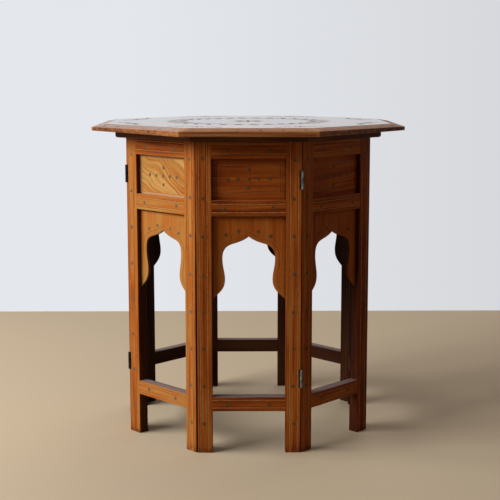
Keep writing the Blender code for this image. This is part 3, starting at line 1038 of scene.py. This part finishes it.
def arch_half(fullness, slide, widen, lift):
    """Right half of the arch, from crown to tip.

    The shoulder may be fuller than drawn, and the half may be slid sideways, wider or higher.
    """
    def drawn(spot, wider):
        return Vector((slide + spot[0] + wider, MIDDLE_RAIL_BOTTOM + lift - spot[1]))

    crown = drawn(CROWN, 0.0)
    shoulder = drawn(SHOULDER, widen / 2)
    belly = drawn(BELLY, widen)
    neck = drawn(NECK, widen)
    tip = Vector((OPENING_HALF, ARCH_TIP + lift))
    run, rise = shoulder.x - crown.x, crown.y - shoulder.y
    spread, fall = belly.x - shoulder.x, shoulder.y - belly.y
    waist = belly.y - neck.y
    reach, skirt = tip.x - neck.x, neck.y - tip.y
    handles = [
        (crown.x + run * 0.3, crown.y - rise * 0.5),
        (crown.x + run * 0.6, shoulder.y + rise * 0.25),
        (shoulder.x + spread * 0.6 * fullness, shoulder.y - rise * 0.3),
        (belly.x, belly.y + fall * 0.55 * fullness),
        (belly.x, belly.y - waist * 0.4),
        (neck.x, neck.y + waist * 0.35),
        (neck.x, neck.y - skirt * 0.5),
        (tip.x - reach * 0.5, tip.y + skirt * 0.3),
    ]
    knots = [crown, shoulder, belly, neck, tip]
    points = [crown]
    for start, end, first, second in zip(knots, knots[1:], handles[0::2], handles[1::2]):
        points += bezier([start, first, second, end])
    return points


def arch_line(fullness, slide, left_widen, right_widen, lift):
    """The whole arch from the left tip to the right one, with the way into the wood at each point."""
    left = arch_half(fullness, -slide, left_widen, lift)
    right = arch_half(fullness, slide, right_widen, lift)
    points = [Vector((-point.x, point.y)) for point in reversed(left)] + right[1:]
    ways = []
    for index in range(len(points)):
        before = points[max(index - 1, 0)]
        after = points[min(index + 1, len(points) - 1)]
        ahead = (after - before).normalized()
        ways.append(Vector((-ahead.y, ahead.x)))
    return points, ways


print("points along an arch:", len(arch_half(1.0, 0.0, 0.0, 0.0)) * 2 - 1)

# %% [markdown]
# ## Arch panels
#
# The cut edge of the arch is eased, and a scribed line follows it at a small distance. So the panel is a skin
# over copies of its outline: the arch moves a little further into the wood from ring to ring, while the
# straight border in the groove stays where it is. The cut faces are painted dark, as painted shade.

# %% Arch panels
ARCH_EASE = 0.7 * MM
ARCH_LINE = 7.2 * MM
# Arch tones. On the front side and its two neighbours they also carry painted light: paler on the left,
# darker and redder on the front and right, as in shade.
ARCH_TONES = {1: 0.54, 2: 0.79, 8: 0.42}
HANDS = {
    1: (1.12, 0.0, 0.0, 0.0, 0.0),
    2: (1.25, -2.4 * MM, 0.0, 1.6 * MM, 1.9 * MM),
    5: (1.1, 0.0, 0.0, 5.0 * MM, 0.0),
    8: (1.15, -0.6 * MM, 0.6 * MM, 2.2 * MM, 1.3 * MM),
}


def arch_panel_shape(hand):
    """An arch panel in its side's frame. Hand says how its arch departs from the drawn one."""
    points, ways = arch_line(*hand)
    top = MIDDLE_RAIL_BOTTOM + GROOVE_DEPTH - CLEARANCE
    reach = PANEL_HALF - CLEARANCE
    low = points[0].y
    border = [(PANEL_HALF, low), (PANEL_HALF, top), (-PANEL_HALF, top), (-PANEL_HALF, low)]
    steps = [
        # The cut faces are painted dark: painted shade on an edge that faces away from the light.
        (ARCH_EASE, PANEL_BACK, -0.6),
        (0.0, PANEL_BACK - ARCH_EASE, -0.8),
        (0.0, PANEL_FACE + ARCH_EASE, -0.7),
        (ARCH_EASE * 0.3, PANEL_FACE + ARCH_EASE * 0.3, 0.2),
        (ARCH_EASE, PANEL_FACE, 0.4),
        (ARCH_LINE - LINE_WIDTH, PANEL_FACE, 0.0),
        (ARCH_LINE - LINE_WIDTH / 2, PANEL_FACE, 0.0),
        (ARCH_LINE, PANEL_FACE + LINE_DEPTH, -0.8),
        (ARCH_LINE + LINE_WIDTH / 2, PANEL_FACE, 0.5),
        (ARCH_LINE + LINE_WIDTH, PANEL_FACE, 0.7),
        (ARCH_LINE + 2 * LINE_WIDTH, PANEL_FACE, 0.0),
    ]
    rings = []
    for offset, y, rub in steps:
        moved = [point + way * offset for point, way in zip(points, ways)]
        ring = [((max(-reach, min(reach, point.x)), y, point.y), rub) for point in moved]
        ring += [((x, y, z), 0.0) for x, z in border]
        rings.append(ring)
    return skin(rings)


for number in SIDES:
    slip = dice.uniform(-1.2, 1.2) * MM
    hand = HANDS.get(number, (dice.uniform(0.95, 1.2), slip, 0.0, abs(slip), 0.0))
    shape = arch_panel_shape(hand)
    panel = add_side_piece(number, "ogee_panel", shape, arch_wood, "arch_panel")
    tone = ARCH_TONES.get(number, dice.uniform(0.4, 0.7))
    lay_grain(panel, ALONG_Z, heart_beside(distance=0.06, depth=-0.03), tone)
print("arch panel corners:", len(panel.data.vertices))

# %% [markdown]
# ## Old metal
#
# The inlay is dull metal, worn level with the wood. A mirror-like metal would look new, so the colour goes
# from dark to pale in small clouds, with patches of tarnish and fine scratches. The inlay of the two sides
# with figured panels and of the top is paler. On the other sides it has darkened and hardly shines.

# %% Metal finishes


def metal_finish(name, dark, pale, tarnish, tarnish_share, **constants):
    """Dull old metal, from dark to pale in small clouds, with patches of tarnish."""
    finish = Finish(name, **constants)
    spot = finish.read("ShaderNodeTexCoord", "Object")
    cloud = finish.noise(spot, scale=420.0, detail=4.0)
    patch = finish.noise(spot, scale=130.0, detail=3.0).rise(0.50, 0.68)
    scratch = finish.noise(finish.drawn(spot, along=0.2), scale=2600.0, detail=2.0)
    colour = finish.ramp(cloud.rise(0.25, 0.75), [(0.0, dark), (1.0, pale)])
    finish.feed("Base Color", finish.mixed(patch * tarnish_share, colour, tarnish))
    finish.feed("Roughness", 0.45 + cloud * 0.2 + patch * 0.15)
    finish.feed("Normal", finish.bumped(scratch + cloud, strength=0.25, distance=0.12 * MM))
    return finish


pale_inlay = metal_finish(
    "inlay_metal",
    dark=(0.098, 0.054, 0.027),
    pale=(0.255, 0.150, 0.078),
    tarnish=(0.12, 0.058, 0.025),
    tarnish_share=0.5,
    Metallic=0.15,
    Specular_IOR_Level=0.1,
)
dark_inlay = metal_finish(
    "side_inlay",
    dark=(0.080, 0.038, 0.013),
    pale=(0.215, 0.108, 0.038),
    tarnish=(0.12, 0.052, 0.017),
    tarnish_share=0.5,
    Specular_IOR_Level=0.03,
)
print("nodes in a metal finish:", len(pale_inlay.tree.nodes))

# %% [markdown]
# ## Inlaid dots
#
# Small discs are let into the wood by hand: eight down every stile, two on every rail, a cross of seven on
# the upper panel and four over the arch. No two sit quite in line or have quite the same outline. Discs drawn
# in the wood's finish would stay flat, so each is a low dome with its rim just in the wood. All dots of one
# side make one piece.

# %% Dots of the sides
DOT_POINTS = 14
DOT_RADIUS = 2.75 * MM
DOT_PROFILE = ((0.98, -0.5 * MM), (1.0, 0.02 * MM), (0.82, 0.10 * MM), (0.45, 0.16 * MM))
STILE_DOTS = 8
STILE_DOT_X = HALF_WIDTH - 11.0 * MM
STILE_DOT_TOP = 0.434
STILE_DOT_STEP = 0.0556
RAIL_DOTS = ((0.031, 0.447), (0.036, 0.3637), (0.030, 0.0738))
PANEL_DOT_STEP = 15.2 * MM
PANEL_DOT_ROW = 0.405
PANEL_DOT_ENDS = (0.4186, 0.392)
ARCH_DOTS = ((0.0325, 0.323), (0.0145, 0.329))
FRONT = Vector((0.0, -1.0, 0.0))


def add_dot(shape, centre, outward, radius):
    """A slightly uneven dome with its rim at centre, facing outward."""
    turn = outward.to_track_quat("Z", "Y").to_matrix()
    uneven = [dice.uniform(0.92, 1.08) for _ in range(DOT_POINTS)]
    rings = []
    for share, height in DOT_PROFILE:
        ring = []
        for index, stretch in enumerate(uneven):
            angle = math.tau * index / DOT_POINTS
            flat = Vector((math.cos(angle), math.sin(angle), 0.0)) * radius * share * stretch
            ring.append((centre + turn @ (flat + Vector((0.0, 0.0, height))), 0.0))
        rings.append(ring)
    add_skin(shape, rings)


def both_ends(x, y, z):
    return [(-x, y, z), (x, y, z)]


def side_dot_spots():
    """Where the dots of one side go, as (x, y, z): y is the depth of the face they sit in."""
    spots = []
    for step in range(STILE_DOTS):
        spots += both_ends(STILE_DOT_X, 0.0, STILE_DOT_TOP - step * STILE_DOT_STEP)
    for x, z in RAIL_DOTS:
        spots += both_ends(x, 0.0, z)
    spots += [(step * PANEL_DOT_STEP, PANEL_FACE, PANEL_DOT_ROW) for step in range(-2, 3)]
    spots += [(0.0, PANEL_FACE, z) for z in PANEL_DOT_ENDS]
    for x, z in ARCH_DOTS:
        spots += both_ends(x, PANEL_FACE, z)
    return spots


for number in SIDES:
    shape = new_shape()
    for spot in side_dot_spots():
        wobble = Vector((dice.gauss(0, 0.5), 0.0, dice.gauss(0, 0.6))) * MM
        add_dot(shape, Vector(spot) + wobble, FRONT, DOT_RADIUS * dice.uniform(0.88, 1.1))
    metal = pale_inlay if number in FIGURED_SIDES else dark_inlay
    add_side_piece(number, "dots", shape, metal)
print("dots on a side:", len(side_dot_spots()))

# %% [markdown]
# ## Hinges
#
# Sixteen small butt hinges hold the ring together. Their plain shapes are right as they are, so they only get
# a finish. Most are blackened iron. The pair at the right front corner is steel, painted greyer and paler: a
# painted reflection of the pale room on its metal.

# %% Hinges
hinge_iron = metal_finish(
    "hinge_iron",
    dark=(0.018, 0.016, 0.013),
    pale=(0.06, 0.055, 0.048),
    tarnish=(0.04, 0.022, 0.012),
    tarnish_share=0.6,
    Metallic=0.5,
    Specular_IOR_Level=0.15,
)
# Steel painted pale and grey: the paleness is a painted reflection of the pale room on the right front
# hinges.
hinge_steel = metal_finish(
    "hinge_steel",
    dark=(0.095, 0.088, 0.072),
    pale=(0.34, 0.32, 0.27),
    tarnish=(0.05, 0.03, 0.018),
    tarnish_share=0.7,
    Metallic=0.6,
    Specular_IOR_Level=0.25,
)
hinge_leaves = [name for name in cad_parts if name.startswith("hinge_")]
for name in hinge_leaves:
    metal = hinge_steel if name.startswith("hinge_8_1") else hinge_iron
    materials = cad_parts[name].data.materials
    materials.clear()
    materials.append(metal.material)
print("hinge leaves:", len(hinge_leaves))

# %% [markdown]
# ## Top
#
# The top is one octagonal board with a wide bevel, a thin square edge below it and a scribed line along the
# bevel's upper side. It is a skin over octagons, because a bevel tool could not rub the corners paler than
# the edges between them. Both ends of the board show end grain, which soaks up more oil and is darker. Its
# face is polished more than the rest, so from low down it mirrors the pale room.

# %% Top board
TOP_BOTTOM = 0.4698
INLAY_PROUD = 0.2 * MM
TOP_TOP = 0.4803 - INLAY_PROUD
TOP_APOTHEM = APOTHEM + 0.049
TOP_EDGE = 6.6 * MM
BEVEL_WIDTH = 21.0 * MM
BEVEL_BOTTOM = TOP_BOTTOM + TOP_EDGE
BEVEL_RISE = TOP_TOP - TOP_BOTTOM - TOP_EDGE
EDGE_SWING = 2.2 * MM
END_LIFT = 0.8 * MM
END_CORNER = 0.414
CORNER_RUB = 0.5
CORNER_SHARE = 0.05
BOARD_HEART = (0.03, -0.24, 1.3)
BOARD_TONE = 0.74
END_GRAIN_SHADE = 0.58

DULL_STOPS = [
    (0.0, (0.085, 0.026, 0.008)),
    (0.30, (0.20, 0.062, 0.015)),
    (0.58, (0.385, 0.128, 0.033)),
    (1.0, (0.46, 0.200, 0.066)),
]
POLISH = {"Specular_IOR_Level": 0.08, "Coat_Roughness": 0.10}
top_wood = wood_finish("top_wood", DULL_STOPS, streaks=1.4, figure=0.16, dust=0.0, polish=0.93, **POLISH)


def edge_drop(y):
    """How far the lower edge hangs down: the board is thicker along its front and back than at its ends."""
    share = (abs(y) / TOP_APOTHEM - END_CORNER) / (1.0 - END_CORNER)
    return EDGE_SWING * share - END_LIFT


def octagon(apothem, z, rub, hang=0.0):
    """Three points to a side, so that the corners can be rubbed paler than the edges between them."""
    reach = apothem / math.cos(HALF_TURN)
    corners = []
    for index in range(SIDE_COUNT):
        angle = HALF_TURN * (2 * index + 1)
        y = reach * math.sin(angle)
        corners.append(Vector((reach * math.cos(angle), y, z - hang * edge_drop(y))))
    corner_rub = min(1.0, rub + CORNER_RUB) if rub >= 0.0 else rub
    ring = []
    for corner, after in zip(corners, corners[1:] + corners[:1]):
        ring.append((corner, corner_rub))
        ring.append((corner.lerp(after, CORNER_SHARE), rub))
        ring.append((corner.lerp(after, 1.0 - CORNER_SHARE), rub))
    return ring


def on_bevel(distance, sunk, rub):
    """An octagon on the bevel, at a distance in from the edge."""
    return octagon(TOP_APOTHEM - distance, BEVEL_BOTTOM + BEVEL_RISE * distance / BEVEL_WIDTH - sunk, rub)


top_rings = [
    octagon(TOP_APOTHEM - 24.0 * MM, TOP_BOTTOM, 0.0),
    octagon(TOP_APOTHEM - 1.0 * MM, TOP_BOTTOM, 0.1, hang=1.0),
    octagon(TOP_APOTHEM, TOP_BOTTOM + 0.8 * MM, 0.3, hang=1.0),
    octagon(TOP_APOTHEM, TOP_BOTTOM + 1.6 * MM, 0.0, hang=1.0),
    octagon(TOP_APOTHEM, BEVEL_BOTTOM - 1.0 * MM, 0.0),
    octagon(TOP_APOTHEM - 0.15 * MM, BEVEL_BOTTOM - 0.3 * MM, 0.6),
    on_bevel(1.0 * MM, 0.1 * MM, 0.5),
    on_bevel(2.2 * MM, 0.0, 0.5),
    on_bevel(BEVEL_WIDTH - 3.4 * MM, 0.0, 0.5),
    on_bevel(BEVEL_WIDTH - 3.0 * MM, 0.4 * MM, -1.0),
    on_bevel(BEVEL_WIDTH - 2.6 * MM, 0.0, 0.0),
    on_bevel(BEVEL_WIDTH - 0.8 * MM, 0.05 * MM, 0.4),
    octagon(TOP_APOTHEM - BEVEL_WIDTH - 0.8 * MM, TOP_TOP, 0.2),
    octagon(TOP_APOTHEM - BEVEL_WIDTH - 3.0 * MM, TOP_TOP, 0.0),
]
board = add_piece("bevelled_top", skin(top_rings), Matrix(), "top", top_wood, ["top_board"])
lay_grain(board, ALONG_X_FLAT, BOARD_HEART, BOARD_TONE)
for corner, shade in zip(board.data.vertices, board.data.attributes["tone"].data):
    shade.value -= END_GRAIN_SHADE * abs(corner.co.x) / TOP_APOTHEM
print("top board across flats:", round(2 * TOP_APOTHEM, 4))

# %% [markdown]
# ## Moulding under the top
#
# A moulding of eight mitred strips runs round under the board and rests on the upper edges of the sides. Its
# lower outer edge is rounded off. One section, carried along from mitre to mitre, makes each strip, and the
# strips stay apart, because on the real table the joints between them show.

# %% Moulding
MOULDING_BOTTOM = 0.4594
MOULDING_HEIGHT = 10.1 * MM
MOULDING_WIDTH = 35.0 * MM
MOULDING_FACE = -15.2 * MM
MOULDING_TONE = 0.08


def moulding_shape():
    """One strip in its side's frame, from mitre to mitre."""
    back = MOULDING_FACE + MOULDING_WIDTH
    section = [
        (MOULDING_FACE + 3.6 * MM, 0.0),
        (MOULDING_FACE + 1.9 * MM, 0.4 * MM),
        (MOULDING_FACE + 0.6 * MM, 1.4 * MM),
        (MOULDING_FACE, 2.9 * MM),
        (MOULDING_FACE, MOULDING_HEIGHT),
        (back, MOULDING_HEIGHT),
        (back, 0.0),
    ]
    rings = []
    for end in (-1, 1):
        ring = []
        for y, z in section:
            reach = (APOTHEM - y) * math.tan(HALF_TURN) - JOINT_LINE
            ring.append(((end * reach, y, MOULDING_BOTTOM + z), 0.0))
        rings.append(ring)
    return skin(rings)


for number in SIDES:
    place = side_place(number)
    strip = add_piece(
        f"moulding_{number}", moulding_shape(), place, "top", top_wood, ["top_moulding"]
    )
    lay_grain(strip, ALONG_X, heart_beside(distance=0.05, depth=0.05), MOULDING_TONE)
print("moulding from", MOULDING_BOTTOM, "to", MOULDING_BOTTOM + MOULDING_HEIGHT)

# %% [markdown]
# ## Inlay of the top
#
# Six dots sit in each of the eight bevels. On the face, a leaf spray lies in every corner, and a wreath of
# leaves runs round a flower in the middle. The leaves are thin metal, let in flush. Each is a small skin over
# two copies of one pointed outline, which is enough for a thing so thin.

# %% Leaves, petals and sprays
LEAF_POINTS = 7
LEAF_HEIGHTS = (-0.4 * MM, 0.03 * MM)
LEAF_LEANS = (-0.75, 0.75)
UP = Vector((0.0, 0.0, 1.0))


def add_leaf(shape, place, length, width):
    """A flat pointed leaf from the place's origin along its X, just proud of the wood."""
    edge = []
    for index in range(LEAF_POINTS + 1):
        share = index / LEAF_POINTS
        edge.append((share * length, width / 2 * math.sin(math.pi * share ** 0.85)))
    outline = edge + [(x, -y) for x, y in reversed(edge[1:-1])]
    rings = [[(place @ Vector((x, y, height)), 0.0) for x, y in outline] for height in LEAF_HEIGHTS]
    add_skin(shape, rings)


def flat_turn(x, y, angle):
    return Matrix.Translation((x, y, 0.0)) @ Matrix.Rotation(angle, 4, "Z")


def add_petals(shape, place, count, start, sizes):
    """A ring of leaves round the place, which take the (length, width) sizes in turn."""
    for petal in range(count):
        turn = flat_turn(0.0, 0.0, math.tau * petal / count) @ Matrix.Translation((start, 0.0, 0.0))
        length, width = sizes[petal % len(sizes)]
        add_leaf(shape, place @ turn, length, width)


def add_spray(shape, place):
    """A flower with a curved twig of leaves on either side. Its X runs along the table's edge."""
    up = (place.to_3x3() @ UP).normalized()
    add_dot(shape, place.translation, up, 2.6 * MM)
    add_petals(shape, place, count=6, start=3.6 * MM, sizes=[(8.0 * MM, 4.2 * MM)])
    for side in (-1, 1):
        away = 0.0 if side > 0 else math.pi
        for step in range(4):
            x = side * (14.0 + 8.0 * step) * MM
            y = (2.0 - 0.9 * step * step) * MM
            for lean in LEAF_LEANS:
                add_leaf(shape, place @ flat_turn(x, y, lean + away), (9.0 - step) * MM, 3.0 * MM)
            add_dot(shape, place @ Vector((x, y, 0.0)), up, 1.1 * MM)


print("points round a leaf:", 2 * LEAF_POINTS)

# %% Inlay of the top
BEVEL_DOT_RADIUS = 2.4 * MM
BEVEL_DOTS = 6
BEVEL_DOT_STEP = 31.0
BEVEL_DOT_SHARE = 0.4
SPRAY_RING = 0.192
WREATH_RING = 0.112
WREATH_LEAVES = 32
WREATH_LEAF = (25.0 * MM, 8.0 * MM)
FLOWER_PETALS = [(22.0 * MM, 5.0 * MM), (14.0 * MM, 2.6 * MM)]

bevel_dots = new_shape()
bevel_up = Vector((0.0, -BEVEL_RISE, BEVEL_WIDTH)).normalized()
bevel_in = BEVEL_WIDTH * BEVEL_DOT_SHARE
bevel_middle = Vector((0.0, bevel_in - TOP_APOTHEM, BEVEL_BOTTOM + BEVEL_RISE * BEVEL_DOT_SHARE))
for number in range(SIDE_COUNT):
    around = Matrix.Rotation(2 * HALF_TURN * number, 3, "Z")
    for step in range(BEVEL_DOTS):
        along = (step - (BEVEL_DOTS - 1) / 2) * BEVEL_DOT_STEP
        sideways = Vector((along + dice.gauss(0, 0.8), dice.gauss(0, 0.4), 0.0)) * MM
        add_dot(bevel_dots, around @ (bevel_middle + sideways), around @ bevel_up, BEVEL_DOT_RADIUS)
add_piece("top_bevel_dots", bevel_dots, Matrix(), "top", pale_inlay)

sprays = new_shape()
for number in range(SIDE_COUNT):
    around = Matrix.Rotation(HALF_TURN * (2 * number + 1), 4, "Z")
    add_spray(sprays, around @ Matrix.Translation((0.0, -SPRAY_RING, TOP_TOP)))
add_piece("top_sprays", sprays, Matrix(), "top", pale_inlay)

flower = new_shape()
middle = Matrix.Translation((0.0, 0.0, TOP_TOP))
add_dot(flower, middle.translation, UP, 5.0 * MM)
add_petals(flower, middle, count=16, start=8.0 * MM, sizes=FLOWER_PETALS)
for index in range(WREATH_LEAVES):
    angle = math.tau * index / WREATH_LEAVES
    for lean in LEAF_LEANS:
        way = angle + math.pi / 2 + lean
        stem = flat_turn(WREATH_RING * math.cos(angle), WREATH_RING * math.sin(angle), way)
        add_leaf(flower, middle @ stem, *WREATH_LEAF)
add_piece("top_flower", flower, Matrix(), "top", pale_inlay)

# %% [markdown]
